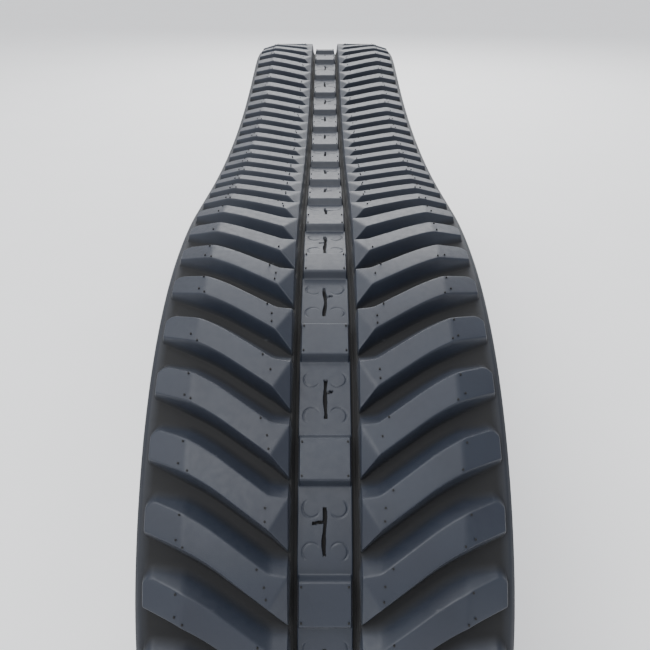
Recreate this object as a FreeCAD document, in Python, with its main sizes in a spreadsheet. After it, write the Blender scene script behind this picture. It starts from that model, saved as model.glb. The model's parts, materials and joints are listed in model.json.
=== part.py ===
"""An endless rubber track for a tracked machine, standing free as a closed loop.

X runs across the belt, Y along the loop's length (the front nose is at -Y) and Z up. The origin is
on the ground, under the middle of the loop. A place on the loop is given by three numbers: the run
s along the pitch line, from the middle of the ground run forward and round, the side x, and the
rise n outward from the pitch line, which is the plane of the steel cords.
"""
import FreeCAD, Part
import math
import os
import re
import Sketcher

Vector = FreeCAD.Vector
doc = FreeCAD.newDocument("rubber_track")

# ---------------------------------------------------------------- driving dimensions, mm and degrees
SIZES = [
    ("belt_width", 450, "overall width of the belt"),
    ("pitch", 163, "length of one pitch along the cords"),
    ("pitch_count", 38, "steel cores round the loop"),
    ("nose_turn", 125, "turn of the tight bend at each end"),
    ("shoulder_radius", 482, "first easier bend over the nose"),
    ("shoulder_turn", 37, "its turn"),
    ("crest_radius", 648, "second easier bend"),
    ("crest_turn", 14, "its turn"),
    ("brow_radius", 1170, "last bend before the top run falls"),
    ("brow_turn", 10.4, "its turn"),
    ("slope_length", 171, "straight that falls towards the sag"),
    ("sag_length", 495, "half of the sagging arc on the top run"),
    ("inner_depth", 22, "pitch line to the roller path"),
    ("ply_thickness", 3, "fabric ply over the cords"),
    ("base_rise", 13, "pitch line to the floor of the tread valleys"),
    ("edge_bevel", 12, "bevel at the belt's inner edge"),
    ("edge_round", 5, "bevel at the belt's outer edge"),
    ("centre_half", 33, "half the width of the window column"),
    ("channel_width", 4, "floor of the groove beside the centre column"),
    ("membrane_thickness", 8, "rubber skin that closes the windows"),
    ("pad_height", 12, "centre pad over the membrane"),
    ("pad_length", 62, "foot of a centre pad along the belt"),
    ("pad_bevel", 6, "run of a pad's sloping ends"),
    ("pad_side", 2, "gap and draft at a pad's sides"),
    ("cord_diameter", 5, "one steel cord with its skin"),
    ("cord_spacing", 9.5, "centre to centre of two cords"),
    ("cord_count", 18, "cords on each side"),
    ("cord_first", 48, "centre line of the track to the first cord"),
    ("core_length", 370, "steel core from wing tip to wing tip"),
    ("core_width", 56, "steel core along the belt"),
    ("core_thickness", 12, "plate of the steel core"),
    ("core_cover", 5, "pitch line to the outer face of the wings"),
    ("bridge_rise", 3, "bridge between the horns, over the wings"),
    ("horn_thickness", 24, "guide horn across the belt"),
    ("horn_height", 58, "guide horn from the plate to its tip"),
    ("horn_foot", 54, "guide horn along the belt at its foot"),
    ("horn_tip", 34, "guide horn along the belt at its tip"),
    ("horn_round", 7, "rounded edges at the horn's tip"),
    ("pocket_gap", 0.06, "room round a core in its rubber pocket"),
    ("bar_height", 25, "tread bar over the valley floor"),
    ("bar_outer_height", 10, "tread bar at its outer end"),
    ("bar_tip_height", 8, "tread bar at its pointed inner tip"),
    ("bar_top", 37, "flat top of a tread bar along the belt"),
    ("bar_flank", 8, "run of a bar's steep near flank"),
    ("bar_far_flank", 20, "run of a bar's gentle far flank"),
    ("bar_inner", 43, "inner end of a bar's top, from the centre line"),
    ("bar_outer", 214, "outer end of a bar's top, from the centre line"),
    ("bar_knee", 150, "place across the belt where a bar changes its slant"),
    ("bar_shoulder", 165, "place across the belt where a bar's top starts to fall"),
    ("bar_facet", 65, "place across the belt where the inner facet starts"),
    ("bar_slant", 34, "slant of a bar's middle, degrees from straight across"),
    ("bar_outer_slant", 20, "slant of a bar's outer part"),
    ("bar_tip_slant", 46, "slant of the tip's lower edge"),
    ("bar_phase", 18.5, "a bar's datum ahead of its core"),
    ("end_draft", 3, "draft of a bar's two ends"),
    ("fixed_half", 7, "cores each side of the middle that stay on the ground"),
]

sheet = doc.addObject("Spreadsheet::Sheet", "sizes")
for row, (alias, number, meaning) in enumerate(SIZES, start=1):
    sheet.set(f"A{row}", meaning)
    sheet.set(f"B{row}", str(number))
    sheet.setAlias(f"B{row}", alias)
doc.recompute()


def size(alias):
    """The sheet's value under this alias."""
    return float(sheet.get(alias))


PITCH = size("pitch")
CORES = round(size("pitch_count"))
HALF = PITCH * CORES / 2
FIXED = round(size("fixed_half"))
GROUND = size("base_rise") + size("bar_height")   # pitch line of the ground run over the ground


# ---------------------------------------------------------------- the pitch line
def half_loop():
    """(length, turn) of each stretch from the middle of the ground run to the middle of the top.

    The ground run and the nose radius are what closes the loop: both enter its height-free closure
    and its length as plain multiples, so two equations give them.
    """
    nose = math.radians(size("nose_turn"))
    bends = [(size(f"{name}_radius") * math.radians(size(f"{name}_turn")), size(f"{name}_turn"))
             for name in ("shoulder", "crest", "brow")]
    turned = size("nose_turn") + sum(turn for _, turn in bends)
    tail = bends + [(size("slope_length"), 0.0), (size("sag_length"), 180 - turned)]
    run_y = walk(0.0, 0.0, size("nose_turn"), tail)[-1][0]
    rest = HALF - sum(length for length, _ in tail)
    # forward reach: -ground - radius * sin(nose) + run_y = 0, length: ground + radius * nose = rest
    radius = (rest - run_y) / (nose - math.sin(nose))
    return [(rest - radius * nose, 0.0), (radius * nose, size("nose_turn"))] + tail


def walk(y, z, heading, stretches):
    """The points (y, z, heading) at the ends of the stretches, the start first."""
    points = [(y, z, heading)]
    for length, turn in stretches:
        y, z = along(y, z, heading, length, turn, length)
        heading += turn
        points.append((y, z, heading))
    return points


def along(y, z, heading, length, turn, run):
    """The point a run along a straight or an arc that starts at (y, z) with this heading."""
    start = math.radians(heading)
    if abs(turn) < 1e-9:
        return y - run * math.cos(start), z + run * math.sin(start)
    radius = length / math.radians(turn)
    end = start + run / radius
    return (y - radius * (math.sin(end) - math.sin(start)),
            z - radius * (math.cos(end) - math.cos(start)))


FIRST_HALF = half_loop()
LOOP = FIRST_HALF + FIRST_HALF[::-1]
CORNERS = walk(0.0, GROUND, 0.0, LOOP)


def station(run):
    """(y, z, heading) of the pitch line at a run from the middle of the ground run."""
    run %= 2 * HALF
    for (length, turn), (y, z, heading) in zip(LOOP, CORNERS):
        if run <= length:
            return (*along(y, z, heading, length, turn, run), heading + turn * run / length)
        run -= length
    return CORNERS[0]


def place(run, side, rise):
    """The point at a run along the loop, a side across it and a rise out of the pitch line."""
    y, z, heading = station(run)
    angle = math.radians(heading)
    return Vector(side, y - rise * math.sin(angle), z - rise * math.cos(angle))


def standing(run):
    """The placement that stands a piece on the pitch line: its +Z inward, its -Y along the run."""
    y, z, heading = station(run)
    return FreeCAD.Placement(Vector(0, y, z), FreeCAD.Rotation(Vector(1, 0, 0), -heading))


def loop_edges(rise, flat):
    """The edges of the loop at a rise. flat gives them in the (y, z) plane for a sketch."""
    def spot(run):
        point = place(run, 0, rise)
        return Vector(point.y, point.z, 0) if flat else point

    edges, run = [], 0.0
    for length, turn in LOOP:
        ends = spot(run), spot(run + length)
        if abs(turn) < 1e-9:
            edges.append(Part.LineSegment(*ends))
        else:
            edges.append(Part.Arc(ends[0], spot(run + length / 2), ends[1]))
        run += length
    return edges


# ---------------------------------------------------------------- sketches and bodies
CENTRE_POINT = 3   # what a sketch calls the centre of an arc or a circle


def origin_plane(body, role):
    return next(plane for plane in body.Origin.OriginFeatures if plane.Role == role)


def outline(body, name, role, corners):
    """A closed sketch whose corners are pairs of expressions in the sheet's names.

    A corner with a third entry, +1 or -1, starts a half circle that bulges up or down.
    """
    sketch = body.newObject("Sketcher::SketchObject", name)
    sketch.AttachmentSupport = [(origin_plane(body, role), "")]
    sketch.MapMode = "FlatFace"
    spots = [Vector(worth(corner[0]), worth(corner[1]), 0) for corner in corners]
    for index, corner in enumerate(corners):
        here, there = spots[index], spots[(index + 1) % len(spots)]
        if len(corner) == 2:
            sketch.addGeometry(Part.LineSegment(here, there), False)
        else:
            # a sketch keeps its arcs anticlockwise, so one that bulges up starts at its right end
            reach = Vector(0, corner[2] * here.distanceToPoint(there) / 2, 0)
            ends = (here, there) if corner[2] < 0 else (there, here)
            sketch.addGeometry(Part.Arc(ends[0], (here + there) / 2 + reach, ends[1]), False)
    rules, tied = [], []
    for index, corner in enumerate(corners):
        start = end_number(sketch, index, spots[index])
        before = (index - 1) % len(spots)
        rules.append(Sketcher.Constraint(
            "Coincident", before, end_number(sketch, before, spots[index]), index, start))
        for kind, entry in zip(("DistanceX", "DistanceY"), corner):
            tied.append((kind, index, start, entry))
        if len(corner) == 3:
            tied.append(("DistanceY", index, CENTRE_POINT, corner[1]))
    sketch.addConstraint(rules)
    pin(sketch, tied)
    return sketch


def worth(expression):
    """The number an expression in the sheet's names stands for now."""
    return float(sheet.evalExpression(expression))


def end_number(sketch, index, spot):
    """1 or 2: which end of a sketch's edge lies at the spot."""
    return 1 if sketch.Geometry[index].StartPoint.distanceToPoint(spot) < 1e-6 else 2


def pin(sketch, ties):
    """Ties coordinates of sketch points to expressions: (kind, edge, its point, expression)."""
    rules = [Sketcher.Constraint(kind, -1, 1, index, end, worth(expression))
             for kind, index, end, expression in ties]
    first = sketch.ConstraintCount
    sketch.addConstraint(rules)
    for number, tie in enumerate(ties, start=first):
        sketch.setExpression(f"Constraints[{number}]", in_sheet(tie[3]))


def in_sheet(expression):
    """The expression with each of its names read from the sheet."""
    return re.sub(r"[a-z]\w+", r"sizes.\g<0>", expression)


def bind(thing, **sizes):
    """Ties an object's properties to expressions in the sheet's names."""
    for name, expression in sizes.items():
        thing.setExpression(name, in_sheet(expression))


def carry_round(body, profile):
    """Carries a profile round the pitch line into an endless ring."""
    route = body.newObject("Sketcher::SketchObject", body.Name + "_route")
    route.AttachmentSupport = [(origin_plane(body, "YZ_Plane"), "")]
    route.MapMode = "FlatFace"
    for edge in loop_edges(0, flat=True):
        route.addGeometry(edge, False)
    doc.recompute()
    ring = body.newObject("PartDesign::AdditivePipe", body.Name + "_pipe")
    ring.Profile = profile
    ring.Spine = (route, [f"Edge{number}" for number in range(1, len(LOOP) + 1)])
    doc.recompute()
    return ring


def ring_body(name, corners):
    """An endless ring whose cross-section has these corners: side across, height over the ground."""
    body = doc.addObject("PartDesign::Body", name)
    profile = outline(body, name + "_profile", "XZ_Plane", corners)
    doc.recompute()
    carry_round(body, profile)
    return body


SUBPARTS = []


def finish(thing, label):
    """Names a sub-part and puts it on the list of those that are written."""
    thing.Label = label
    SUBPARTS.append(thing)
    return thing


def mirrored(thing, label):
    """The same piece on the left side."""
    other = doc.addObject("Part::Mirroring", label)
    other.Source = thing
    other.Normal = Vector(1, 0, 0)
    return finish(other, label)


PITCH_LINE = "(base_rise + bar_height)"

# ---------------------------------------------------------------- steel cores
# One forged core: a flat plate that reaches into both belts, a raised bridge that the sprocket
# drives, and two guide horns on its inner side. It is drawn at the pitch line with +Z inward.
core = doc.addObject("PartDesign::Body", "steel_core")


def core_pad(name, role, corners, length, offset):
    """A pad on the core, from a sketch at an offset from one of the body's planes."""
    sketch = outline(core, name + "_outline", role, corners)
    sketch.AttachmentOffset = FreeCAD.Placement(Vector(0, 0, worth(offset)), FreeCAD.Rotation())
    sketch.setExpression("AttachmentOffset.Base.z", in_sheet(offset))
    pad = core.newObject("PartDesign::Pad", name)
    pad.Profile = sketch
    bind(pad, Length=length)
    doc.recompute()
    return pad


def rectangle(half_x, half_y):
    """The corners of a rectangle about the origin, from two expressions."""
    return [(f"-({half_x})", f"-({half_y})"), (half_x, f"-({half_y})"),
            (half_x, half_y), (f"-({half_x})", half_y)]


OVERLAP = 1   # pads of one forging run into each other by this
core_pad("plate", "XY_Plane", rectangle("core_length / 2", "core_width / 2"),
         "core_thickness", "core_cover")
core_pad("bridge", "XY_Plane", rectangle("centre_half - bridge_rise", "core_width / 2"),
         f"bridge_rise + {OVERLAP}", "core_cover - bridge_rise")
HORN_ROOT = "core_cover + core_thickness"
horn = core_pad(
    "horn", "YZ_Plane",
    [("-(horn_foot) / 2", f"{HORN_ROOT} - {OVERLAP}"),
     ("horn_foot / 2", f"{HORN_ROOT} - {OVERLAP}"),
     ("horn_tip / 2", f"{HORN_ROOT} + horn_height"),
     ("-(horn_tip) / 2", f"{HORN_ROOT} + horn_height")],
    "horn_thickness", "centre_half")
both_horns = core.newObject("PartDesign::Mirrored", "both_horns")
both_horns.Originals = [horn]
both_horns.MirrorPlane = (origin_plane(core, "YZ_Plane"), [""])
core.Tip = both_horns
doc.recompute()
tip_level = worth(f"{HORN_ROOT} + horn_height")
tip_edges = [f"Edge{number}" for number, edge in enumerate(both_horns.Shape.Edges, start=1)
             if all(abs(vertex.Point.z - tip_level) < 1e-6 for vertex in edge.Vertexes)]
rounded = core.newObject("PartDesign::Fillet", "horn_rounding")
rounded.Base = (both_horns, tip_edges)
bind(rounded, Radius="horn_round")
doc.recompute()

# The room that a core takes in the rubber: its plate and the feet of its horns, a little larger.
core_room = doc.addObject("Part::Fuse", "core_room")


def room_box(name, length, width, height, floor):
    """A box centred on the core, from expressions for its sizes and the level of its floor."""
    box = doc.addObject("Part::Box", name)
    bind(box, Length=length, Width=width, Height=height)
    box.setExpression("Placement.Base.x", in_sheet(f"-({length}) / 2"))
    box.setExpression("Placement.Base.y", in_sheet(f"-({width}) / 2"))
    box.setExpression("Placement.Base.z", in_sheet(floor))
    return box


core_room.Base = room_box(
    "plate_room", "core_length + 2 * pocket_gap", "core_width + 2 * pocket_gap",
    "core_thickness + 2 * pocket_gap", "core_cover - pocket_gap")
core_room.Tool = room_box(
    "horn_room", "2 * (centre_half + horn_thickness + pocket_gap)",
    "horn_foot + 2 * pocket_gap", "horn_height", f"{HORN_ROOT} - {OVERLAP} - pocket_gap")
doc.recompute()


def copy_of(master, name, run):
    """A copy of a piece that stands on the pitch line at this run."""
    copy = doc.addObject("Part::Compound", name)
    copy.Links = [master]
    copy.Placement = standing(run)
    return copy


def group_of(name, members):
    group = doc.addObject("Part::Compound", name)
    group.Links = members
    return group


CORE_RUNS = [PITCH * (number + 0.5) for number in range(CORES)]
rooms = group_of("core_rooms", [copy_of(core_room, f"room_{number}", run)
                                for number, run in enumerate(CORE_RUNS, start=1)])
doc.recompute()

# ---------------------------------------------------------------- endless rubber and cord rings
INNER_FACE = f"{PITCH_LINE} + inner_depth"
PLY_FACE = f"{PITCH_LINE} - ply_thickness"
VALLEY = f"{PITCH_LINE} - base_rise"
BELT_EDGE = "belt_width / 2"


def cord_grooves(bulge):
    """The corners of the half-round grooves that the cords lie in, from the centre outward."""
    row = []
    for number in range(round(size("cord_count"))):
        middle = f"cord_first + {number} * cord_spacing"
        row.append((f"{middle} - cord_diameter / 2", PITCH_LINE, bulge))
        row.append((f"{middle} + cord_diameter / 2", PITCH_LINE))
    return row


inner_ring = ring_body("inner_ring", [
    ("centre_half", PITCH_LINE),
    *cord_grooves(1),
    (BELT_EDGE, PITCH_LINE),
    (BELT_EDGE, f"{INNER_FACE} - edge_bevel"),
    (f"{BELT_EDGE} - edge_bevel", INNER_FACE),
    ("centre_half", INNER_FACE)])
inner_belt = doc.addObject("Part::Cut", "inner_belt")
inner_belt.Base = inner_ring
inner_belt.Tool = rooms
finish(inner_belt, "inner_belt_right")
mirrored(inner_belt, "inner_belt_left")

ply = ring_body("ply_ring", [
    ("centre_half", PITCH_LINE),
    *cord_grooves(-1),
    (BELT_EDGE, PITCH_LINE),
    (BELT_EDGE, PLY_FACE),
    ("centre_half", PLY_FACE)])
finish(ply, "cord_ply_right")
mirrored(ply, "cord_ply_left")

CHANNEL_SIDE = "centre_half + channel_width"
base = ring_body("base_ring", [
    (CHANNEL_SIDE, PLY_FACE),
    (f"{CHANNEL_SIDE} + end_draft", VALLEY),
    (f"{BELT_EDGE} - edge_round", VALLEY),
    (BELT_EDGE, f"{VALLEY} + edge_round"),
    (BELT_EDGE, PLY_FACE)])
finish(base, "tread_base_right")
mirrored(base, "tread_base_left")

membrane = ring_body("membrane_ring", [
    ("-(centre_half)", PITCH_LINE),
    ("-(centre_half)", f"{PITCH_LINE} - membrane_thickness"),
    ("centre_half", f"{PITCH_LINE} - membrane_thickness"),
    ("centre_half", PITCH_LINE)])
finish(membrane, "window_membrane")

cords = doc.addObject("PartDesign::Body", "cord_body")
section = cords.newObject("Sketcher::SketchObject", "cord_section")
section.AttachmentSupport = [(origin_plane(cords, "XZ_Plane"), "")]
section.MapMode = "FlatFace"
cord_centre = Vector(size("cord_first"), worth(PITCH_LINE), 0)
section.addGeometry(Part.Circle(cord_centre, Vector(0, 0, 1), size("cord_diameter") / 2), False)
pin(section, [("DistanceX", 0, CENTRE_POINT, "cord_first"),
              ("DistanceY", 0, CENTRE_POINT, PITCH_LINE)])
cord_radius = section.addConstraint(Sketcher.Constraint("Radius", 0, size("cord_diameter") / 2))
section.setExpression(f"Constraints[{cord_radius}]", in_sheet("cord_diameter / 2"))
doc.recompute()
one_cord = carry_round(cords, section)
cord_pattern = cords.newObject("PartDesign::LinearPattern", "cord_pattern")
cord_pattern.Originals = [one_cord]
cord_pattern.Direction = (origin_plane(cords, "X_Axis"), [""])
cord_pattern.Mode = "Spacing"
bind(cord_pattern, Offset="cord_spacing", Occurrences="cord_count")
cords.Tip = cord_pattern
doc.recompute()
finish(cords, "steel_cords_right")
mirrored(cords, "steel_cords_left")


# ---------------------------------------------------------------- tread bars and centre pads
def inner_body(rise):
    """Everything inside the loop at this rise, as one solid across the belt."""
    wire = Part.Wire([edge.toShape() for edge in loop_edges(rise, flat=False)])
    face = Part.Face(wire)
    face.translate(Vector(-size("belt_width"), 0, 0))
    return face.extrude(Vector(2 * size("belt_width"), 0, 0))


def block(foot, crown):
    """A closed solid between a foot and a crown, each a far and a near row of as many points.

    Every face is a triangle. A strip of the crown is split from its far inner to its near outer
    corner, which makes the facet at a bar's tip.
    """
    triangles = []
    for far, near in (foot, crown):
        for k in range(len(far) - 1):
            triangles.append((far[k], far[k + 1], near[k + 1]))
            triangles.append((far[k], near[k + 1], near[k]))
    rims = [far + near[::-1] for far, near in (foot, crown)]
    for k in range(len(rims[0])):
        after = (k + 1) % len(rims[0])
        triangles.append((rims[0][k], rims[0][after], rims[1][after]))
        triangles.append((rims[0][k], rims[1][after], rims[1][k]))
    faces = [Part.Face(Part.makePolygon([*corners, corners[0]])) for corners in triangles]
    shell = Part.Shape(Part.makeCompound(faces))
    shell.sewShape()
    solid = Part.makeSolid(shell.Shells[0])
    return solid if solid.Volume > 0 else solid.reversed()


ROOT_DEPTH = 4   # a block starts this far under the rubber that it stands on, before it is cut
BAR_PLACES = [(size("bar_inner"), size("bar_tip_height")),
              (size("bar_facet"), size("bar_height")),
              (size("bar_knee"), size("bar_height")),
              (size("bar_shoulder"), size("bar_height")),
              (size("bar_outer"), size("bar_outer_height"))]
TIP_FAR_SLANT = 8   # degrees: the far edge of a bar is almost straight across at its inner end


def slanted(reach, degrees):
    return reach * math.tan(math.radians(degrees))


def bar_edge(across, near):
    """How far a bar's far or near top edge lies ahead of its datum, at a place across the belt."""
    facet, knee = size("bar_facet"), size("bar_knee")
    edge = -size("bar_top") / 2 if near else size("bar_top") / 2
    if across < facet:
        return edge - slanted(facet - across, size("bar_tip_slant") if near else TIP_FAR_SLANT)
    middle = slanted(min(across, knee) - facet, size("bar_slant"))
    return edge + middle + slanted(max(across - knee, 0), size("bar_outer_slant"))


def tread_bar(datum, side):
    """One bar of the chevron on side +1 or -1. Its datum is its middle where the facet starts."""
    inner, outer = size("bar_inner"), size("bar_outer")
    rows = {}
    for level in ("foot", "crown"):
        for near in (False, True):
            row = []
            for across, height in BAR_PLACES:
                if across == inner and not near:
                    height = size("bar_height")
                spread, rise = 0.0, size("base_rise") + height
                if level == "foot":
                    spread = (height + ROOT_DEPTH) / size("bar_height")
                    rise = size("base_rise") - ROOT_DEPTH
                ends = (across == outer) - (across == inner)
                run = datum + bar_edge(across, near)
                run += spread * (-size("bar_flank") if near else size("bar_far_flank"))
                out = across + ends * size("end_draft") * spread
                row.append(place(run, side * out, rise))
            rows[level, near] = row
    return block((rows["foot", False], rows["foot", True]),
                 (rows["crown", False], rows["crown", True]))


def centre_pad(run):
    """The raised pad over a core, with sloping ends."""
    rows = []
    for rise, half, across in (
            (size("membrane_thickness") - ROOT_DEPTH, size("pad_length") / 2, 1),
            (size("membrane_thickness") + size("pad_height"),
             size("pad_length") / 2 - size("pad_bevel"), 2)):
        side = size("centre_half") - across * size("pad_side") / 2
        rows.append([[place(run + end * half, x, rise) for x in (-side, side)]
                     for end in (1, -1)])
    return block(*rows)


UNDER_BARS = inner_body(size("base_rise"))
UNDER_PADS = inner_body(size("membrane_thickness"))


def tread(name, run):
    """The rubber blocks of one pitch: four chevron bars and the pad over the core."""
    ahead = size("bar_phase")
    bars = [tread_bar(run + ahead - step * PITCH / 2, side) for step in (0, 1)
            for side in (-1, 1)]
    blocks = [bar.cut(UNDER_BARS) for bar in bars] + [centre_pad(run).cut(UNDER_PADS)]
    piece = doc.addObject("Part::Feature", name)
    piece.Shape = Part.makeCompound([solid for shape in blocks for solid in shape.Solids])
    return piece


# ---------------------------------------------------------------- one core and one tread per pitch
# The pitches that lie on the ground form one group. The others are numbered up from the ground, at
# the front and at the rear, to the middle of the top run.
MOVING = CORES // 2 - FIXED
ground_runs = [CORE_RUNS[index] for index in range(-FIXED, FIXED)]
finish(group_of("ground_cores", [copy_of(core, f"ground_core_{number}", run)
                                 for number, run in enumerate(ground_runs, start=1)]),
       "cores_ground_run")
finish(group_of("ground_treads", [tread(f"ground_tread_{number}", run)
                                  for number, run in enumerate(ground_runs, start=1)]),
       "tread_ground_run")
for end, indices in (("front", range(FIXED, CORES // 2)),
                     ("rear", range(CORES - FIXED - 1, CORES // 2 - 1, -1))):
    for number, index in enumerate(indices, start=1):
        run = CORE_RUNS[index]
        finish(copy_of(core, f"core_{end}_{number}", run), f"core_{end}_{number:02d}")
        finish(tread(f"tread_{end}_{number}", run), f"tread_{end}_{number:02d}")
doc.recompute()

# ---------------------------------------------------------------- checks and files
for thing in doc.Objects:
    if {"Invalid", "Error"} & set(thing.State):
        raise RuntimeError(f"{thing.Name} failed: {thing.State}")
for piece in SUBPARTS:
    if piece.Shape.isNull() or not piece.Shape.isValid() or not piece.Shape.Solids:
        raise RuntimeError(f"{piece.Label} has no valid solid")

os.makedirs("parts", exist_ok=True)
for piece in SUBPARTS:
    piece.Shape.exportStep(os.path.join("parts", piece.Label + ".step"))

nose_length, nose_turn = LOOP[1]
top = CORNERS[len(FIRST_HALF)][1] + size("base_rise") + size("bar_height")
print(f"nose radius {nose_length / math.radians(nose_turn):.1f} mm, "
      f"top of the sag {top:.1f} mm, {len(SUBPARTS)} sub-parts")
for number, (y, z, heading) in enumerate(CORNERS[:len(FIRST_HALF) + 1]):
    print(f"stretch {number} starts at y {y:.2f}, z {z:.2f}, heading {heading:.2f}")
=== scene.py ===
# %% [markdown]
# # An endless rubber track
#
# This lesson dresses a rubber track for a small tracked machine. The frame below is the designed
# model: steel cores, belts and tread blocks at their real places, and the hinges between the cores.
# Everything made here is rubber that has to look moulded and has to bend with those hinges.

# %% Load the designed model
import bpy
import json
import math
import numpy as np
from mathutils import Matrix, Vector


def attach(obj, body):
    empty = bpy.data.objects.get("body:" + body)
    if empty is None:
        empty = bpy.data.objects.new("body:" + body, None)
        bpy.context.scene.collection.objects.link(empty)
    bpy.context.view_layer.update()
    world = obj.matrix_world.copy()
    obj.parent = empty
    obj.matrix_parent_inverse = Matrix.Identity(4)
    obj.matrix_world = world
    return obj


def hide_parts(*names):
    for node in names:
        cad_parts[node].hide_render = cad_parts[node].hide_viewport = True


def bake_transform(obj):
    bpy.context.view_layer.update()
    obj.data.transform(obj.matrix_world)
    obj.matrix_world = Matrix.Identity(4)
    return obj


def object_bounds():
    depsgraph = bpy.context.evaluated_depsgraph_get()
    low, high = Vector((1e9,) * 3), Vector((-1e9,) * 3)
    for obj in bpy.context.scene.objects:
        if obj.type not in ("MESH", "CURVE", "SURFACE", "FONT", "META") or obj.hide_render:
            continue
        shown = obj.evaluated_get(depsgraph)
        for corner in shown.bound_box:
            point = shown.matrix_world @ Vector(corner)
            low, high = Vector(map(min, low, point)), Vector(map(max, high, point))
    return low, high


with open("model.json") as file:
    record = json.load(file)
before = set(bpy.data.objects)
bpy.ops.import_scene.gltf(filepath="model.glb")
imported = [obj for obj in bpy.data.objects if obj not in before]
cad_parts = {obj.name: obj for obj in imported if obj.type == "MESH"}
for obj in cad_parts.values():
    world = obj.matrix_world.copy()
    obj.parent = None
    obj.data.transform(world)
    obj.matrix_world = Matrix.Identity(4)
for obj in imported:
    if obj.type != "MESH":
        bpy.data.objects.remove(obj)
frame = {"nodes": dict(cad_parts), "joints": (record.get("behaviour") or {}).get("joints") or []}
designed_box = [list(corner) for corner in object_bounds()]

# %% [markdown]
# ## The pitch line
#
# A rubber track is long and thin, so it is easiest to describe in its own coordinates: the **run**
# along the steel cords, from the middle of the ground run forward and round, the **side** across the
# belt and the **rise** outward from the cords. One function turns those three into a place. Working
# this way keeps every shape below flat and simple, and the loop bends it afterwards.
#
# The loop is straights and arcs in order. We could sample a smooth spline, but straights and arcs are
# what the designed model has, and only the same line keeps the rubber on its steel.

# %% Straights and arcs of half the loop
MM = 0.001
PITCH = 163.0
PITCHES = 38
LOOP_LENGTH = PITCH * PITCHES
GROUND_RISE = 38.0                      # the cords of the ground run over the ground
NOSE_TURN = 125.0
BENDS = [(482.0, 37.0), (648.0, 14.0), (1170.0, 10.4)]      # radius, degrees
SLOPE = 171.0                           # straight that falls into the sag
SAG = 495.0                             # half of the sagging arc


def step_along(y, z, heading, length, turn):
    """The end of a straight or an arc: its chord is the length times sin(half)/half of the turn,
    and points along the heading in the middle of the turn."""
    half = np.radians(turn) / 2
    chord = length * np.sinc(half / np.pi)
    middle = np.radians(heading) + half
    return y - chord * np.cos(middle), z + chord * np.sin(middle)


def close_the_loop():
    """(length, turn) of each stretch of half the loop. The ground run and the nose radius follow
    from two sums: the half loop's length, and its reach forward, which must come back to nought."""
    nose = math.radians(NOSE_TURN)
    tail = [(radius * math.radians(turn), turn) for radius, turn in BENDS]
    turned = NOSE_TURN + sum(turn for _, turn in BENDS)
    tail += [(SLOPE, 0.0), (SAG, 180.0 - turned)]
    y, heading = 0.0, NOSE_TURN
    for length, turn in tail:
        y, _ = step_along(y, 0.0, heading, length, turn)
        heading += turn
    left = LOOP_LENGTH / 2 - sum(length for length, _ in tail)
    radius = (left - y) / (nose - math.sin(nose))
    return [(left - radius * nose, 0.0), (radius * nose, NOSE_TURN)] + tail


HALF = close_the_loop()
LENGTHS, TURNS = np.array(HALF + HALF[::-1]).T
STARTS = np.concatenate([[0.0], np.cumsum(LENGTHS)])
CORNERS = [(0.0, GROUND_RISE, 0.0)]
for length, turn in zip(LENGTHS, TURNS):
    y, z, heading = CORNERS[-1]
    CORNERS.append((*step_along(y, z, heading, length, turn), heading + turn))
CORNERS = np.array(CORNERS)
print(f"nose radius {HALF[1][0] / math.radians(NOSE_TURN):.1f} mm, ground run {2 * HALF[0][0]:.0f} mm")


# %% From run, side and rise to a place
def place(run, side, rise):
    """Points in metres. The stretch that holds the run gives a chord from its start, and the rise is
    measured square to the heading there: down on the ground run, forward on the nose, up on top."""
    run, side, rise = np.broadcast_arrays(run, side, rise)
    run = np.mod(run, LOOP_LENGTH)
    stretch = np.clip(np.searchsorted(STARTS, run, side="right") - 1, 0, len(LENGTHS) - 1)
    y, z, heading = (CORNERS[stretch, column] for column in range(3))
    gone = run - STARTS[stretch]
    turn = TURNS[stretch] * gone / LENGTHS[stretch]
    y, z = step_along(y, z, heading, gone, turn)
    angle = np.radians(heading + turn)
    return np.stack([side, y - rise * np.sin(angle), z - rise * np.cos(angle)], axis=-1) * MM


hinges = {joint["name"]: joint for joint in frame["joints"]}
off = place(7 * PITCH, 0, 0) - np.array(hinges["front_flex_01"]["pos_m"])
print(f"the first hinge lies {np.linalg.norm(off) / MM:.3f} mm from the pitch line")

# %% [markdown]
# ## Slices of the loop
#
# Rubber crosses every hinge, so it can't be one rigid piece. We cut it half-way along each steel core,
# where nothing bends. A slice that crosses a moving hinge stays fixed where it was made and follows
# neither core. The slices on the ground ride with the ground run, and the two half slices at the middle
# of the top run ride with the last core on their own side, because the chain of hinges is open there.
# They part a little when the chain moves, and a thin seam, just under the surface of both, fills most of
# the hairline.

# %% One row per slice: name, where it starts and ends, and its bodies
GROUND_CORES = 7                        # cores each side of the middle that lie on the ground
MOVING = PITCHES // 2 - GROUND_CORES
SEAM_HALF = 2.0                         # the seam's reach into the slice on each side, in mm
SEAM_DEPTH = 0.4                        # and its depth under their surface


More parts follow.
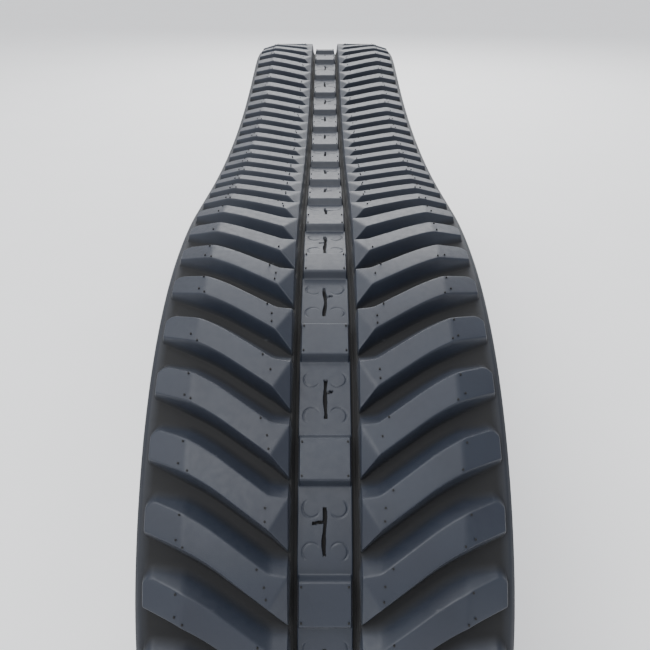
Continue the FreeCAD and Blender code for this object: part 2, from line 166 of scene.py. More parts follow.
def slices():
    """(name, first run, last run, bodies, hinge run): from the middle of the ground run forward."""
    rows = []
    for hinge in range(-GROUND_CORES + 1, GROUND_CORES):
        span = ((hinge - 0.5) * PITCH, (hinge + 0.5) * PITCH)
        rows.append((f"ground_{hinge + GROUND_CORES:02d}", *span, ["ground_run"], hinge * PITCH))
    for end, sign in (("front", 1), ("rear", -1)):
        for step in range(MOVING):
            hinge = sign * (GROUND_CORES + step)
            bodies = [f"{end}_pitch_{step:02d}" if step else "ground_run", f"{end}_pitch_{step + 1:02d}"]
            if sign < 0:
                bodies.reverse()
            span = ((hinge - 0.5) * PITCH, (hinge + 0.5) * PITCH)
            rows.append((f"{end}_{step + 1:02d}", *span, bodies, hinge * PITCH))
        top = sign * LOOP_LENGTH / 2
        span = sorted((top, top - sign * PITCH / 2))
        rows.append((f"{end}_top", *span, [f"{end}_pitch_{MOVING:02d}"], top))
    top = LOOP_LENGTH / 2
    rows.append(("seam", top - SEAM_HALF, top + SEAM_HALF, [f"front_pitch_{MOVING:02d}"], top))
    return rows


SLICES = slices()
print(f"{len(SLICES)} slices of the loop, the seam among them")


def sink(piece, depth):
    """Moves a closed piece's surface inwards by a depth in millimetres."""
    for vertex in piece.data.vertices:
        vertex.co -= vertex.normal * depth * MM


def fasten(piece, row):
    """Rides a piece on its body. A piece whose hinge joins two bodies is only fixed in place where it
    was made.
    """
    _, _, _, bodies, hinge = row
    if len(bodies) == 1:
        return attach(piece, bodies[0])
    here, before, after = place(np.array([hinge, hinge - 1, hinge + 1]), 0, 0)
    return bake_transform(piece)


# %% [markdown]
# ## The tread as a formula
#
# A chevron bar is a flat top with sloping flanks. Instead of modelling one bar and copying it, we
# write down the height of the rubber at any run and side. Every crease is a **soft corner**: the
# function `ramp` is nought on one side and a straight slope on the other, with a short parabola
# between them. Outside that knee it is exact, so the flats stay flat and at their designed height.

# %% Soft corners
def ramp(distance, knee):
    """A rounded max(distance, 0): nought below -knee, the distance above knee, and between them the
    parabola (distance + knee)^2 / (4 knee) that meets both."""
    curve = (np.clip(distance, -knee, knee) + knee) ** 2 / (4 * knee)
    return np.where(distance > knee, distance, curve)


def soft_max(a, b, knee):
    """The greater of two heights, blended where they cross: b plus a ramp of their difference."""
    return b + ramp(a - b, knee)


def tangent(degrees):
    return math.tan(math.radians(degrees))


# %% Sizes of the tread, in millimetres
BELT_HALF = 225.0
VALLEY = 13.0                           # floor between the bars, over the cords
GROOVE_FLOOR = 3.0                      # floor beside the centre column
GROOVE_INNER, GROOVE_OUTER = 37.0, 40.0
BAR_HEIGHT = 25.0
BAR_OUTER_HEIGHT = 10.0
BAR_TIP_HEIGHT = 8.0
BAR_TOP = 37.0                          # width of the flat top along the belt
NEAR_FLANK, FAR_FLANK = 8.0, 20.0       # run of the steep near flank and of the gentle far one
BAR_INNER, BAR_FACET = 43.0, 65.0
BAR_KNEE, BAR_SHOULDER, BAR_OUTER = 150.0, 165.0, 214.0
BAR_SPACING = PITCH / 2
BAR_PHASE = 18.5                        # the datum of a bar ahead of its core
SLANT, OUTER_SLANT, TIP_SLANT, FAR_SLANT = 34.0, 20.0, 46.0, 8.0
BEND_KNEE, TIP_KNEE = 30.0, 5.0         # knees where a bar's edges bend, outwards and at the tip
CORNER_RUN, CORNER_SLOPE = 9.0, 1.3     # the far edge turns back over this width, at this slope
EDGE_ROUND = 1.6                        # knee of the moulded top edges
VALLEY_ROUND = 7.0                      # knee at the foot of a flank


# %% Edges, facets and height of the bars
def bar_edges(side):
    """(near, far) top edges ahead of the bar's datum: a straight slant whose slope changes in two
    rounded knees, at the facet by the centre column and towards the outer end. The far edge turns
    back over the last millimetres, which rounds the bar's outer corner."""
    across = np.maximum(np.abs(side), BAR_INNER)
    middle = tangent(SLANT) * (across - BAR_FACET)
    middle = middle - (tangent(SLANT) - tangent(OUTER_SLANT)) * ramp(across - BAR_KNEE, BEND_KNEE)
    tip = ramp(BAR_FACET - across, TIP_KNEE)
    near = middle - BAR_TOP / 2 - (tangent(TIP_SLANT) - tangent(SLANT)) * tip
    far = middle + BAR_TOP / 2 + (tangent(SLANT) - tangent(FAR_SLANT)) * tip
    far = far - CORNER_SLOPE * ramp(across - (BAR_OUTER - CORNER_RUN), TIP_KNEE)
    return near, far


TIP_NEAR, TIP_FAR = (float(edge) for edge in bar_edges(BAR_INNER))
FACET_LINE = np.array([BAR_FACET - BAR_INNER, -BAR_TOP / 2 - TIP_FAR])
FACET_LINE /= np.linalg.norm(FACET_LINE)
FACET_DEPTH = (TIP_FAR - TIP_NEAR) * FACET_LINE[0]
FACET_SLOPE = (BAR_HEIGHT - BAR_TIP_HEIGHT) / FACET_DEPTH


def bar_top(ahead, side):
    """Height of a bar's top over the valley: flat, falling past the shoulder to the outer end, and
    falling across the facet, by the distance from the crease that cuts the inner corner off."""
    across = np.abs(side)
    fall = (BAR_HEIGHT - BAR_OUTER_HEIGHT) / (BAR_OUTER - BAR_SHOULDER)
    past = FACET_LINE[1] * (across - BAR_INNER) - FACET_LINE[0] * (ahead - TIP_FAR)
    return BAR_HEIGHT - fall * ramp(across - BAR_SHOULDER, 4.0) - FACET_SLOPE * ramp(past, 2.5)


def bar_height(ahead, side):
    """Height of one bar: its top, less steep ramps past each of its four edges."""
    near, far = bar_edges(side)
    across = np.abs(side)
    end = BAR_HEIGHT / 3
    height = bar_top(ahead, side) - BAR_HEIGHT / FAR_FLANK * ramp(ahead - far, EDGE_ROUND)
    height = height - BAR_HEIGHT / NEAR_FLANK * ramp(near - ahead, EDGE_ROUND)
    return height - end * (ramp(BAR_INNER - across, 1.0) + ramp(across - BAR_OUTER, 1.6))


def belt_floor(side):
    """The rubber under the bars: level, down into the groove at the centre column, and rounded off
    at the belt's outer edge."""
    across = np.abs(side)
    slope = (VALLEY - GROOVE_FLOOR) / (GROOVE_OUTER - GROOVE_INNER)
    floor = VALLEY - slope * ramp(GROOVE_OUTER - across, 1.0)
    floor = soft_max(floor, GROOVE_FLOOR, 1.0)
    return floor - ramp(across - (BELT_HALF - 5.0), 2.5)


def tread_rise(run, side):
    """Rise of the tread over the cords: the highest of the nearest three bars, run softly into the
    belt's floor."""
    near, far = bar_edges(side)
    ahead = run - BAR_PHASE
    nearest = np.round((ahead - (near + far) / 2) / BAR_SPACING)
    bars = [bar_height(ahead - (nearest + step) * BAR_SPACING, side) for step in (-1, 0, 1)]
    knee = np.where(np.abs(side) > BAR_INNER, VALLEY_ROUND, 1.5)
    return soft_max(VALLEY + np.maximum.reduce(bars), belt_floor(side), knee)


print(f"a bar's top edges at its inner end lie {TIP_NEAR:.1f} and {TIP_FAR:.1f} mm from its datum")

# %% [markdown]
# ## A grid that follows the bars
#
# A square grid would cut the slanted edges into stairs. Here each grid line across the belt follows
# the bars: the lines bunch up at the edges and spread out on the flats. A slice still has to end
# straight, so its lines are held between its first and last run, and the lines that pile up at an
# end are joined into one point per column. What is left is a clean mesh with straight cut ends.

# %% Columns across the belt and rows along it
def spread(*stops):
    """Numbers from stop to stop: each stop after the first is (value, how many steps to it)."""
    parts = [[stops[0]]]
    for (value, count), before in zip(stops[1:], [stops[0]] + [stop[0] for stop in stops[1:]]):
        parts.append(np.linspace(before, value, count + 1)[1:])
    return np.concatenate(parts)


BELT_INNER = 33.0
COLUMNS = spread(BELT_INNER, (36.5, 2), (40.5, 4), (42.0, 2), (45.0, 4), (68.0, 19), (146.0, 12),
                 (160.0, 5), (170.0, 6), (206.0, 6), (212.0, 5), (216.0, 6), (221.0, 3), (BELT_HALF, 4))
UNDER_STEP = 5                          # the roller path needs only every fifth column


def row_runs(bar, side):
    """Runs of the grid lines of one bar at each side: lines follow the foot, the flank and the edge
    of its near side, its top, and the same again on its far side."""
    near, far = bar_edges(side)
    across = np.abs(side)
    share = np.clip(1 - (across - BAR_SHOULDER) / (BAR_OUTER - BAR_SHOULDER) * 0.6, 0.4, 1.0)
    tip_share = np.interp(across, [BAR_INNER, BAR_FACET], [BAR_TIP_HEIGHT / BAR_HEIGHT, 1.0])
    near_foot, far_foot = near - NEAR_FLANK * share * tip_share, far + FAR_FLANK * share
    next_foot = near_foot + BAR_SPACING - 3.0
    knots = [near_foot - 3.0, near_foot, near - 1.6, near + 1.6, far - 1.6, far + 1.6,
             np.minimum(far_foot - 4.0, next_foot - 2.0), np.minimum(far_foot + 4.0, next_foot - 0.5),
             next_foot]
    steps = [3, 4, 4, 8, 4, 5, 5, 3]
    rows = [before + (after - before) * part / count
            for before, after, count in zip(knots, knots[1:], steps) for part in range(count)]
    return np.array(rows) + BAR_PHASE + bar * BAR_SPACING


def ring_of(row_run, first, last):
    """Holds each column's rows between two runs. Gives the runs, and for each grid point the number
    of the row that stands for it, so that points piled up at an end are one point."""
    low = (row_run <= first).sum(0) - 1
    high = len(row_run) - (row_run >= last).sum(0)
    number = np.clip(np.arange(len(row_run))[:, None], low, high)
    return np.clip(row_run, first, last), number


# %% [markdown]
# ## The centre column
#
# Between the two belts runs a narrow strip: a thin membrane over each sprocket window, and a raised
# pad over each core. The mould leaves ring marks in the membrane, and every membrane is slit, so
# that grit can get out of the window. Each slit tears a little differently.

# %% Height of the centre column
CENTRE_HALF = 33.0
MEMBRANE = 8.0
PAD_HEIGHT, PAD_LENGTH, PAD_BEVEL, PAD_SIDE = 12.0, 62.0, 6.0, 2.0
MARK_RADIUS, MARK_SIDE, MARK_RUN = 10.5, 16.5, 25.0
SLIT_HALF = 1.7
SLIT_FLOOR = 0.5
random = np.random.default_rng(38)
TEARS = random.uniform(-1, 1, (PITCHES, 8))


def slit_depth(run, side):
    """How far the membrane is cut: a wavy slit along the belt, with one short tear to each side.
    The depth is full inside the slit's half width and falls to nought over half a millimetre."""
    window = np.round(run / PITCH).astype(int)
    ahead = run - window * PITCH
    tear = TEARS[np.mod(window, PITCHES)]
    wave = 1.2 * tear[..., 0] * np.sin(ahead / 9 + 3 * tear[..., 1]) + 0.8 * tear[..., 2]
    half = SLIT_HALF * (1.0 + 0.25 * np.sin(ahead / 5 + 9 * tear[..., 3]))
    long_cut = np.minimum(half - np.abs(side - wave), 28 + 3 * tear[..., 4] - np.abs(ahead + 2))
    height = 9 + 7 * tear[..., 5]
    reach = 6.5 + 2.5 * tear[..., 6]
    middle = side - wave - 0.8 * reach * np.sign(tear[..., 7])
    short_cut = np.minimum(1.4 - np.abs(ahead - height - 0.15 * middle), reach - np.abs(middle))
    return np.clip(np.maximum(long_cut, short_cut) / 0.5 + 1, 0, 1)


def centre_rise(run, side):
    """Rise of the centre column: a membrane, a pad over each core with sloping ends and sides, ring
    marks as shallow grooves along four circles, and the slit cut through."""
    from_core = np.abs(np.mod(run, PITCH) - PITCH / 2)
    across = np.abs(side)
    end = PAD_HEIGHT / PAD_BEVEL * ramp(from_core - (PAD_LENGTH / 2 - PAD_BEVEL), 1.5)
    flank = PAD_HEIGHT / PAD_SIDE * ramp(across - (CENTRE_HALF - PAD_SIDE), 0.8)
    ahead = np.abs(run - np.round(run / PITCH) * PITCH)
    away = np.hypot(across - MARK_SIDE, ahead - MARK_RUN)
    faced = 0.5 + 0.5 * np.tanh(((MARK_RUN - ahead) + (across - MARK_SIDE)) / 4)
    mark = 0.9 * faced * np.exp(-((away - MARK_RADIUS) / 1.0) ** 2)
    floor = MEMBRANE - mark - ramp(across - (CENTRE_HALF - 0.8), 0.6)
    cut = (floor - SLIT_FLOOR) * slit_depth(run, side)
    return soft_max(MEMBRANE + PAD_HEIGHT - end - flank, floor, 2.0) - cut


CENTRE_COLUMNS = spread(-CENTRE_HALF, (-30.0, 6), (-9.0, 18), (9.0, 30), (30.0, 18), (CENTRE_HALF, 6))
CENTRE_ROWS = 128                       # rows in a whole pitch

# %% [markdown]
# ## From grid to closed mesh
#
# The columns go all the way round the slice: over the tread, down the edge, back under the roller path
# and up again. That makes a tube, and a lid shuts each end: upright strips from the tread down to a
# level line, then a fan from that line to the points below. The belts are closed this way, and the
# centre column's slices shut each end with one face, so that all rubber is closed and faces outwards.

# %% A tube of columns with shut ends
LEVEL = -2.0                            # rise of the level line in the lids


def grid_faces(key):
    """Quads between the grid's rows and columns; the columns go round. Where two rows stand for one
    point the quad has lost a side, and gives a triangle or nothing."""
    right = np.roll(key, -1, axis=1)
    quads = np.stack([key[:-1], right[:-1], right[1:], key[1:]], axis=-1).reshape(-1, 4)
    left_shut = quads[:, 0] == quads[:, 3]
    right_shut = quads[:, 1] == quads[:, 2]
    owner = np.broadcast_to(np.arange(key.shape[1]), (len(key) - 1, key.shape[1])).reshape(-1)
    kinds = [(~left_shut & ~right_shut, [0, 1, 2, 3]), (left_shut & ~right_shut, [0, 1, 2]),
             (~left_shut & right_shut, [0, 1, 3])]
    return [(quads[which][:, corners], owner[which]) for which, corners in kinds]


def lid_faces(ends, level, outer, cuts):
    """The first end's lid. ends are its grid points round the tube: first the tread, then the level
    line's last point, then the points below, then the level line's first point. cuts says over
    which column each point below lies."""
    top = ends[:outer]
    line = np.concatenate([ends[-1:], level, ends[outer:outer + 1]])
    under = ends[outer + 1:-1][::-1]
    strips = np.stack([top[:-1], line[:-1], line[1:], top[1:]], axis=-1)
    place_of = np.clip(np.searchsorted(cuts, np.arange(outer - 1), side="right") - 1, 0, len(under) - 1)
    fans = np.stack([line[:-1], under[place_of], line[1:]], axis=-1)
    joins = np.stack([under[:-1], under[1:], line[cuts[1:]]], axis=-1)
    return strips, fans, joins


SHARP_FROM = 40.0                       # degrees; an edge that turns more stays sharp


def mesh_of(name, points, faces, normals, painted_exposure, material):
    """A mesh from points and groups of faces. Each group is (corner numbers, normal or not): where the
    last is true its corners take the given normals, else the mesh's own. Each point keeps a share of
    painted light for the material, from nought (full painted shade) in a groove to one on a crown."""
    sizes = np.concatenate([np.full(len(part), part.shape[1]) for part, _ in faces])
    corners = np.concatenate([part.reshape(-1) for part, _ in faces])
    smooth = np.concatenate([np.repeat(worked, part.shape[1]) for part, worked in faces])
    used, corners = np.unique(corners, return_inverse=True)
    mesh = bpy.data.meshes.new(name)
    mesh.vertices.add(len(used))
    mesh.vertices.foreach_set("co", points[used].astype(np.float32).reshape(-1))
    mesh.loops.add(len(corners))
    mesh.loops.foreach_set("vertex_index", corners.astype(np.int32))
    mesh.polygons.add(len(sizes))
    mesh.polygons.foreach_set("loop_start", (np.cumsum(sizes) - sizes).astype(np.int32))
    mesh.update(calc_edges=True)
    mesh.polygons.foreach_set("use_smooth", np.ones(len(sizes), bool))
    mesh.set_sharp_from_angle(angle=math.radians(SHARP_FROM))
    given = np.where(smooth[:, None], normals[used][corners], 0.0)
    mesh.normals_split_custom_set(given.tolist())
    tone = mesh.attributes.new("painted_exposure", "FLOAT", "POINT")
    tone.data.foreach_set("value", painted_exposure[used].astype(np.float32))
    mesh.materials.append(material)
    piece = bpy.data.objects.new(name, mesh)
    bpy.context.scene.collection.objects.link(piece)
    return piece


def pips(places, rise_of):
    """Little six-sided stubs that the mould's vents leave: for each (run, side), corners of a prism
    from just under the surface to its top. Gives (points, faces) of closed shells. A stub that would
    stand out of the designed box, as on the ground run, has been pressed flat and is left out."""
    turn = np.arange(6) * math.pi / 3
    run, side = np.array(places).reshape(-1, 2).T[:, :, None]
    foot = rise_of(run, side)
    ring = [(run + width * np.cos(turn), side + width * np.sin(turn), foot + lift)
            for width, lift in ((PIP_WIDTH, -1.0), (PIP_WIDTH * 0.8, PIP_HEIGHT))]
    points = np.concatenate([place(*corner) for corner in ring], axis=1)
    lowest, highest = designed_box
    points = points[((points >= lowest) & (points <= highest)).all(axis=(1, 2))]
    low = np.arange(6)
    after = (low + 1) % 6
    walls = np.stack([low, low + 6, after + 6, after], axis=-1)
    lids = np.array([[5, 4, 3, 2, 1, 0][::-1], [11, 10, 9, 8, 7, 6]])
    start = 12 * np.arange(len(points))[:, None, None]
    return points.reshape(-1, 3), [(walls + start).reshape(-1, 4), (lids + start).reshape(-1, 6)]


def surface_normals(run, side, rise_of):
    """Outward normals of the bent surface: the cross product of two small steps, one across and one
    along the run. They are exact at a cut end, so no seam shows between two slices."""
    small = 0.25                        # mm
    along = place(run + small, side, rise_of(run + small, side))
    along = along - place(run - small, side, rise_of(run - small, side))
    across = place(run, side + small, rise_of(run, side + small))
    across = across - place(run, side - small, rise_of(run, side - small))
    normal = np.cross(across, along)
    return normal / np.linalg.norm(normal, axis=-1, keepdims=True)


PAINTED_LIT_FROM = 11.0                       # mm over the valley from which a bar takes no painted shade
PAINTED_EDGE_FROM, PAINTED_EDGE_TO = 205.0, 220.0       # sides between which the belt's edge is painted lighter, and how far its painted shade is lifted there
EDGE_PAINTED_LIGHT = 0.55                     # and how exposed it is there


def slice_mesh(name, run, number, sides, rises, outer, rise_of, cuts, spots, material, mirror):
    """One closed piece of rubber. The first outer columns lie on the worked surface, whose rise is a
    formula; the others have the fixed rises. Pips stand on the spots. mirror puts it all on the
    other side."""
    side = np.broadcast_to(sides, run.shape)
    rise = np.broadcast_to(rises, run.shape).copy()
    rise[:, :outer] = rise_of(run[:, :outer], side[:, :outer])
    points = place(run, side, rise).reshape(-1, 3)
    # Painted shade: each point's share of painted light is nought in the valleys and grooves, where
    # shade falls, and one on the bars' crowns. Towards the belt's outer edge the painted shade is
    # lifted.
    painted_exposure = np.ones(run.shape)
    edge = EDGE_PAINTED_LIGHT * np.clip((side[:, :outer] - PAINTED_EDGE_FROM) / (PAINTED_EDGE_TO - PAINTED_EDGE_FROM), 0, 1)
    painted_lit_crown = (rise[:, :outer] - VALLEY + 1) / PAINTED_LIT_FROM
    painted_exposure[:, :outer] = np.clip(np.maximum(painted_lit_crown, edge), 0, 1)
    painted_exposure = painted_exposure.reshape(-1)
    normals = np.zeros(points.shape)
    worked = surface_normals(run[:, :outer], side[:, :outer], rise_of)
    normals.reshape(run.shape + (3,))[:, :outer] = worked
    key = number * run.shape[1] + np.arange(run.shape[1])
    faces = [(part, owner < outer - 1) for part, owner in grid_faces(key)]
    for row, flip in ((0, False), (-1, True)):
        extra = place(run[row, 1:outer - 1], sides[1:outer - 1], LEVEL)
        level = np.arange(len(extra)) + len(points)
        points = np.concatenate([points, extra])
        painted_exposure = np.concatenate([painted_exposure, np.ones(len(extra))])
        normals = np.concatenate([normals, np.zeros(extra.shape)])
        for part in lid_faces(key[row], level, outer, cuts):
            part = part[:, ::-1] if flip else part
            faces.append((part, np.zeros(len(part), bool)))
    stubs, walls = pips(spots, rise_of)
    faces += [(part + len(points), np.zeros(len(part), bool)) for part in walls]
    points = np.concatenate([points, stubs])
    normals = np.concatenate([normals, np.zeros(stubs.shape)])
    # The pips get a share of nought, so they are painted as dark as shade.
    painted_exposure = np.concatenate([painted_exposure, np.zeros(len(stubs))])
    if mirror:
        points, normals = points * [-1, 1, 1], normals * [-1, 1, 1]
        faces = [(part[:, ::-1], worked) for part, worked in faces]
    return mesh_of(name, points, faces, normals, painted_exposure, material)


# %% Where the pips stand
PIP_WIDTH, PIP_HEIGHT = 1.5, 1.8
PIP_MARGIN = 2.0                        # no pip stands this close to the end of a slice
PIPS_MISSING = 1 / 6
BAR_PIPS = [(79, 0.93), (70, 0.55), (69, 0.2), (171, 0.9), (174, 0.22), (164, 0.1)]     # side, share


def bar_pips(first, last):
    """(run, side) of the pips on one side's bars between two runs: at each place a share of the way
    from the near to the far edge, a little astray, and one in six missing."""
    found = []
    lowest = math.floor((first - 110) / BAR_SPACING)
    highest = math.ceil((last + 60) / BAR_SPACING)
    for bar in range(lowest, highest + 1):
        for side, share in BAR_PIPS:
            side = side + random.uniform(-1.5, 1.5)
            near, far = bar_edges(side)
            share = share + random.uniform(-0.05, 0.05)
            run = BAR_PHASE + bar * BAR_SPACING + near + share * (far - near)
            if first + PIP_MARGIN < run < last - PIP_MARGIN and random.random() > PIPS_MISSING:
                found.append((float(run), side))
    return found


def pad_pips(first, last):
    """(run, side) of the pips near the four corners of each pad between two runs."""
    cores = np.arange(math.floor(first / PITCH), math.ceil(last / PITCH) + 1) * PITCH + PITCH / 2
    spots = [(core + ahead, side) for core in cores for ahead in (-20, 20) for side in (-28, 28)]
    return [(run, side) for run, side in spots if first + PIP_MARGIN < run < last - PIP_MARGIN]


# %% Columns under the belt and under the centre column
INNER_FACE = -22.0
EDGE_BEVEL = 12.0


def under_columns(columns, step, floor, bevel):
    """(sides, rises, cuts) of the columns that close the tube, from the last column back to the
    first: the level line's end, the edge, the points below, and the level line's start."""
    reach = columns[-1] - bevel
    below = np.arange(0, len(columns), step)
    below = below[columns[below] < reach - 2]
    last = int(np.searchsorted(columns, reach))
    cuts = np.concatenate([below, [last, len(columns) - 1]]) if bevel else np.append(below, last)
    sides = np.concatenate([columns[below], [reach, columns[-1]] if bevel else [reach]])
    rises = np.full(len(sides), floor)
    if bevel:
        rises[-1] = floor + bevel
    sides = np.concatenate([[columns[-1]], sides[::-1], [columns[0]]])
    rises = np.concatenate([[LEVEL], rises[::-1], [LEVEL]])
    return sides, rises, cuts


def belt_slice(name, first, last, material, mirror):
    """A slice of a belt with its chevron bars, on a grid that follows the bars."""
    sides, rises, cuts = under_columns(COLUMNS, UNDER_STEP, INNER_FACE, EDGE_BEVEL)
    sides = np.concatenate([COLUMNS, sides])
    rises = np.concatenate([np.zeros(len(COLUMNS)), rises])
    bars = range(math.floor((first - 85) / BAR_SPACING), math.ceil((last + 65) / BAR_SPACING) + 1)
    rows = np.concatenate([row_runs(bar, sides) for bar in bars])
    run, number = ring_of(rows, first, last)
    spots = bar_pips(first, last)
    return slice_mesh(name, run, number, sides, rises, len(COLUMNS), tread_rise, cuts, spots, material,
                      mirror)


def centre_slice(name, first, last, material):
    """A slice of the centre column, on a plain fine grid. Its underside is flat, so it is one column
    of wide faces, and each end is a single face with many corners."""
    sides = np.concatenate([CENTRE_COLUMNS, [CENTRE_HALF, -CENTRE_HALF]])
    rows = round(CENTRE_ROWS * (last - first) / PITCH)
    run = np.broadcast_to(np.linspace(first, last, rows + 1)[:, None], (rows + 1, len(sides)))
    outer = len(CENTRE_COLUMNS)
    side = np.broadcast_to(sides, run.shape)
    rise = np.zeros(run.shape)
    rise[:, :outer] = centre_rise(run[:, :outer], side[:, :outer])
    points = place(run, side, rise).reshape(-1, 3)
    normals = np.zeros(run.shape + (3,))
    normals[:, :outer] = surface_normals(run[:, :outer], side[:, :outer], centre_rise)
    key = np.arange(run.size).reshape(run.shape)
    faces = [(part, owner < outer - 1) for part, owner in grid_faces(key)]
    for row, flip in ((0, False), (-1, True)):
        lid = key[row][None, ::-1]
        faces.append((lid[:, ::-1] if flip else lid, np.zeros(1, bool)))
    # Painted shade: the slits are painted darker towards their floor, where shade falls. The membrane,
    # the pads and the underside take none.
    painted_exposure = np.clip((rise - SLIT_FLOOR) / (MEMBRANE - 1.0 - SLIT_FLOOR), 0, 1).reshape(-1)
    painted_exposure[key[:, outer:].reshape(-1)] = 1.0
    stubs, walls = pips(pad_pips(first, last), centre_rise)
    faces += [(part + len(points), np.zeros(len(part), bool)) for part in walls]
    points = np.concatenate([points, stubs])
    normals = np.concatenate([normals.reshape(-1, 3), np.zeros(stubs.shape)])
    # The pips get a share of nought, so they are painted as dark as shade.
    painted_exposure = np.concatenate([painted_exposure, np.zeros(len(stubs))])
    return mesh_of(name, points, faces, normals, painted_exposure, material)


# %% [markdown]
# ## Materials
#
# A material here is one shader with a few procedural nodes. Patterns are measured in metres on the
# object itself, so a scale of 1000 is a grain of about a millimetre. Moulded rubber is a dark, rather
# rough plastic in the shader's terms: an index of refraction of 1.52, no metal, and a little sheen
# from the wax that blooms on new rubber. The forged cores are steel under a thin dark scale.

# %% Small helpers for nodes and colours
def linear(code):
    """A colour from an sRGB hex code, as the linear numbers that shaders work with."""
    parts = np.array([int(code[start:start + 2], 16) for start in (1, 3, 5)]) / 255
    parts = np.where(parts <= 0.04045, parts / 12.92, ((parts + 0.055) / 1.055) ** 2.4)
    return (*parts.tolist(), 1.0)


def add(tree, kind, sockets=(), **settings):
    """A new node. Each socket is (name or number, value), and the value may be another's output."""
    node = tree.nodes.new(kind)
    for setting, value in settings.items():
        setattr(node, setting, value)
    for socket, value in sockets:
        if isinstance(value, bpy.types.NodeSocket):
            tree.links.new(value, node.inputs[socket])
        else:
            node.inputs[socket].default_value = value
    return node


def noise(tree, scale, detail):
    """Cloudy noise between nought and one, on the object's own coordinates in metres."""
    where = add(tree, "ShaderNodeTexCoord").outputs["Object"]
    cloud = add(tree, "ShaderNodeTexNoise", [("Vector", where), ("Scale", scale), ("Detail", detail)])
    return cloud.outputs["Fac"]


def between(tree, share, low, high, start=0.35, end=0.65):
    """A number from low to high as share goes from start to end."""
    row = [("Value", share), ("From Min", start), ("From Max", end), ("To Min", low), ("To Max", high)]
    return add(tree, "ShaderNodeMapRange", row).outputs["Result"]


FIRST_COLOUR, SECOND_COLOUR, MIXED_COLOUR = 6, 7, 2         # sockets of a mix of two colours
FIRST_NUMBER, SECOND_NUMBER, MIXED_NUMBER = 2, 3, 0         # and of a mix of two numbers


def mixed(tree, share, first, second):
    """A colour from the first to the second, each a colour or another node's output."""
    row = [("Factor", share), (FIRST_COLOUR, first), (SECOND_COLOUR, second)]
    return add(tree, "ShaderNodeMix", row, data_type="RGBA").outputs[MIXED_COLOUR]


def blended(tree, share, first, second):
    """A colour from the first hex code to the second as share goes from nought to one."""
    return mixed(tree, share, linear(first), linear(second))


def material(name, index, metallic):
    """An empty material: its tree and its shader, linked to the output."""
    made = bpy.data.materials.new(name)
    made.use_nodes = True
    made.node_tree.nodes.clear()
    shader = add(made.node_tree, "ShaderNodeBsdfPrincipled", [("IOR", index), ("Metallic", metallic)])
    add(made.node_tree, "ShaderNodeOutputMaterial", [("Surface", shader.outputs["BSDF"])])
    return made, made.node_tree, shader


def finish_with(tree, shader, colour, roughness, height, depth):
    """Links colour and roughness to the shader, and a relief of the given depth in metres."""
    bump = add(tree, "ShaderNodeBump", [("Height", height), ("Distance", depth), ("Strength", 1.0)])
    relief = bump.outputs["Normal"]
    for socket, value in (("Base Color", colour), ("Roughness", roughness), ("Normal", relief)):
        tree.links.new(value, shader.inputs[socket])


# %% Moulded rubber
rubber, tree, shader = material("moulded_rubber", 1.52, 0.0)
bloom = between(tree, noise(tree, 9.0, 4.0), 0.0, 1.0)
grain = noise(tree, 1100.0, 2.0)
waves = noise(tree, 120.0, 3.0)
# Painted light and shade: the colour runs from a lit, bluish crown colour on the bars' tops to a
# near-black painted shade in valleys, slits and pips, following each point's share of painted light. The
# bloom noise is a real random tone.
painted_exposure = add(tree, "ShaderNodeAttribute", attribute_name="painted_exposure").outputs["Fac"]
painted_exposure = between(tree, painted_exposure, 0.0, 1.0, 0.05, 0.95)
painted_lit_crown = blended(tree, bloom, "#1b212d", "#202733")
painted_hollow_shade = blended(tree, bloom, "#020203", "#040405")
colour = mixed(tree, painted_exposure, painted_hollow_shade, painted_lit_crown)
polish = between(tree, waves, 0.44, 0.52)
row = [("Factor", painted_exposure), (FIRST_NUMBER, 0.8), (SECOND_NUMBER, polish)]
roughness = add(tree, "ShaderNodeMix", row).outputs[MIXED_NUMBER]
finish_with(tree, shader, colour, roughness, grain, 0.00012)
shader.inputs["Sheen Weight"].default_value = 0.03
shader.inputs["Sheen Roughness"].default_value = 0.5

# %% Forged steel
steel, tree, shader = material("forged_steel", 2.5, 1.0)
scale = between(tree, noise(tree, 70.0, 5.0), 0.0, 1.0)
dents = noise(tree, 260.0, 3.0)
colour = blended(tree, scale, "#8f8a84", "#6a6661")
finish_with(tree, shader, colour, between(tree, dents, 0.45, 0.65), dents, 0.0003)

# %% [markdown]
# ## Making the rubber
#
# Each slice is three pieces, a belt on each side and the centre column. They stand for the designed
# model's rubber, cords and plies, which are inside them. A piece of a slice with one body rides with it;
# a piece across a moving hinge stays where it was made.

# %% All slices round the loop
SIDES = (("right", False), ("left", True))
RINGS = ("inner_belt", "cord_ply", "steel_cords", "tread_base")


def treads_of(bodies):
    """The nodes of tread blocks on these bodies: tread_front_03 is on front_pitch_03, for one."""
    names = ["tread_" + body.replace("_pitch_", "_") for body in bodies]
    return [node for node in frame["nodes"] if node in names]


triangles = 0
for row in SLICES:
    name, first, last, bodies, _ = row
    treads = treads_of(bodies)
    made = [(belt_slice(f"belt_{side}_{name}", first, last, rubber, mirror),
             [f"{ring}_{side}" for ring in RINGS]) for side, mirror in SIDES]
    made.append((centre_slice(f"centre_{name}", first, last, rubber), ["window_membrane"]))
    for piece, rings in made:
        if name == "seam":
            sink(piece, SEAM_DEPTH)
        fasten(piece, row)
        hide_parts(*rings, *treads)
        triangles += sum(len(face.vertices) - 2 for face in piece.data.polygons)
print(f"{3 * len(SLICES)} pieces of rubber, {triangles} triangles")

# %% The steel cores
for node, piece in frame["nodes"].items():
    if node.startswith("core"):
        piece.data.materials.clear()
        piece.data.materials.append(steel)

# %% [markdown]
# ## Floor, light and camera
#
# A plain pale floor, a pale world that lights from everywhere, a wide soft sun overhead that reaches
# the whole floor, and two large lamps. Black rubber shows its shape by what it reflects, so large
# lamps matter more than strong ones.

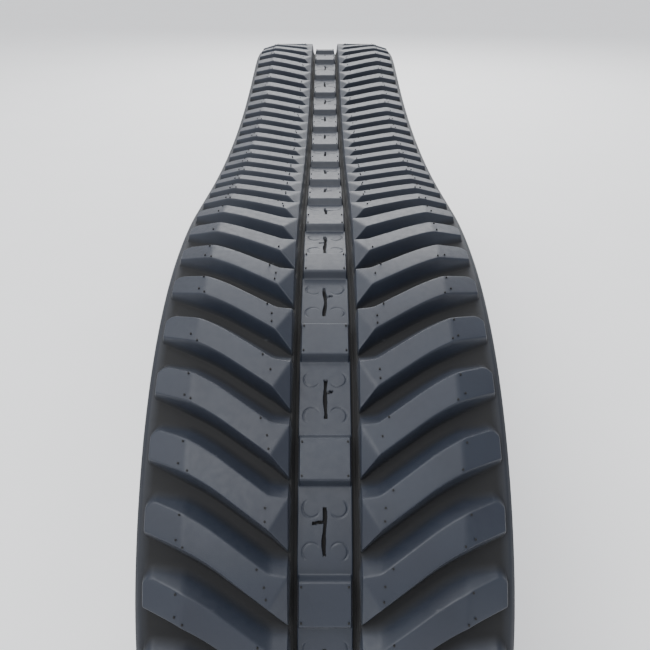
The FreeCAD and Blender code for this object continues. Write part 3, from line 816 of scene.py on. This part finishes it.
# %% Floor
floor_mesh = bpy.data.meshes.new("floor")
floor_mesh.from_pydata([(-80, -80, 0), (80, -80, 0), (80, 80, 0), (-80, 80, 0)], [], [(0, 1, 2, 3)])
floor = bpy.data.objects.new("floor", floor_mesh)
bpy.context.scene.collection.objects.link(floor)
paper, tree, shader = material("pale_paper", 1.5, 0.0)
tone = blended(tree, noise(tree, 3.0, 3.0), "#f6f6f6", "#fafafa")
tree.links.new(tone, shader.inputs["Base Color"])
shader.inputs["Roughness"].default_value = 0.9
floor_mesh.materials.append(paper)


# %% Lamps and world
def lamp(name, power, size, location, towards):
    """A square area lamp that faces a point."""
    data = bpy.data.lights.new(name, "AREA")
    data.energy, data.size = power, size
    made = bpy.data.objects.new(name, data)
    made.location = location
    made.rotation_euler = aim(location, towards)
    bpy.context.scene.collection.objects.link(made)


def aim(location, towards):
    """Turns that point an object's -Z from a location towards a point, its Y axis upward: a tilt
    from straight down, then a heading round the vertical."""
    x, y, z = np.subtract(towards, location)
    return (math.atan2(math.hypot(x, y), -z), 0.0, math.atan2(-x, y))


world = bpy.data.worlds.new("studio")
world.use_nodes = True
sky = world.node_tree.nodes["Background"]
sky.inputs["Color"].default_value = linear("#f4f7ff")
sky.inputs["Strength"].default_value = 0.65
bpy.context.scene.world = world
lamp("key", 180.0, 4.0, (-1.6, -4.0, 4.4), (0.0, -0.6, 0.5))
lamp("back", 220.0, 4.0, (0.4, 4.6, 3.6), (0.0, 0.0, 0.7))

overcast = bpy.data.lights.new("overcast", "SUN")
overcast.energy, overcast.angle = 1.9, math.radians(60)
overhead = bpy.data.objects.new("overcast", overcast)
overhead.rotation_euler = aim((-1.0, 0.6, 4.0), (0.0, 0.0, 0.0))
bpy.context.scene.collection.objects.link(overhead)

# %% Camera
camera_data = bpy.data.cameras.new("camera")
camera_data.sensor_width = 36.0
camera_data.lens = 43.67
camera_data.clip_start = 0.01
camera = bpy.data.objects.new("camera", camera_data)
camera.location = (0.0, -1.965, 1.292)
camera.rotation_euler = (math.radians(90 - 28.74), 0.0, 0.0)
bpy.context.scene.collection.objects.link(camera)
bpy.context.scene.camera = camera

# %% Print the designed sizes
print("designed", np.round(designed_box, 4).tolist())
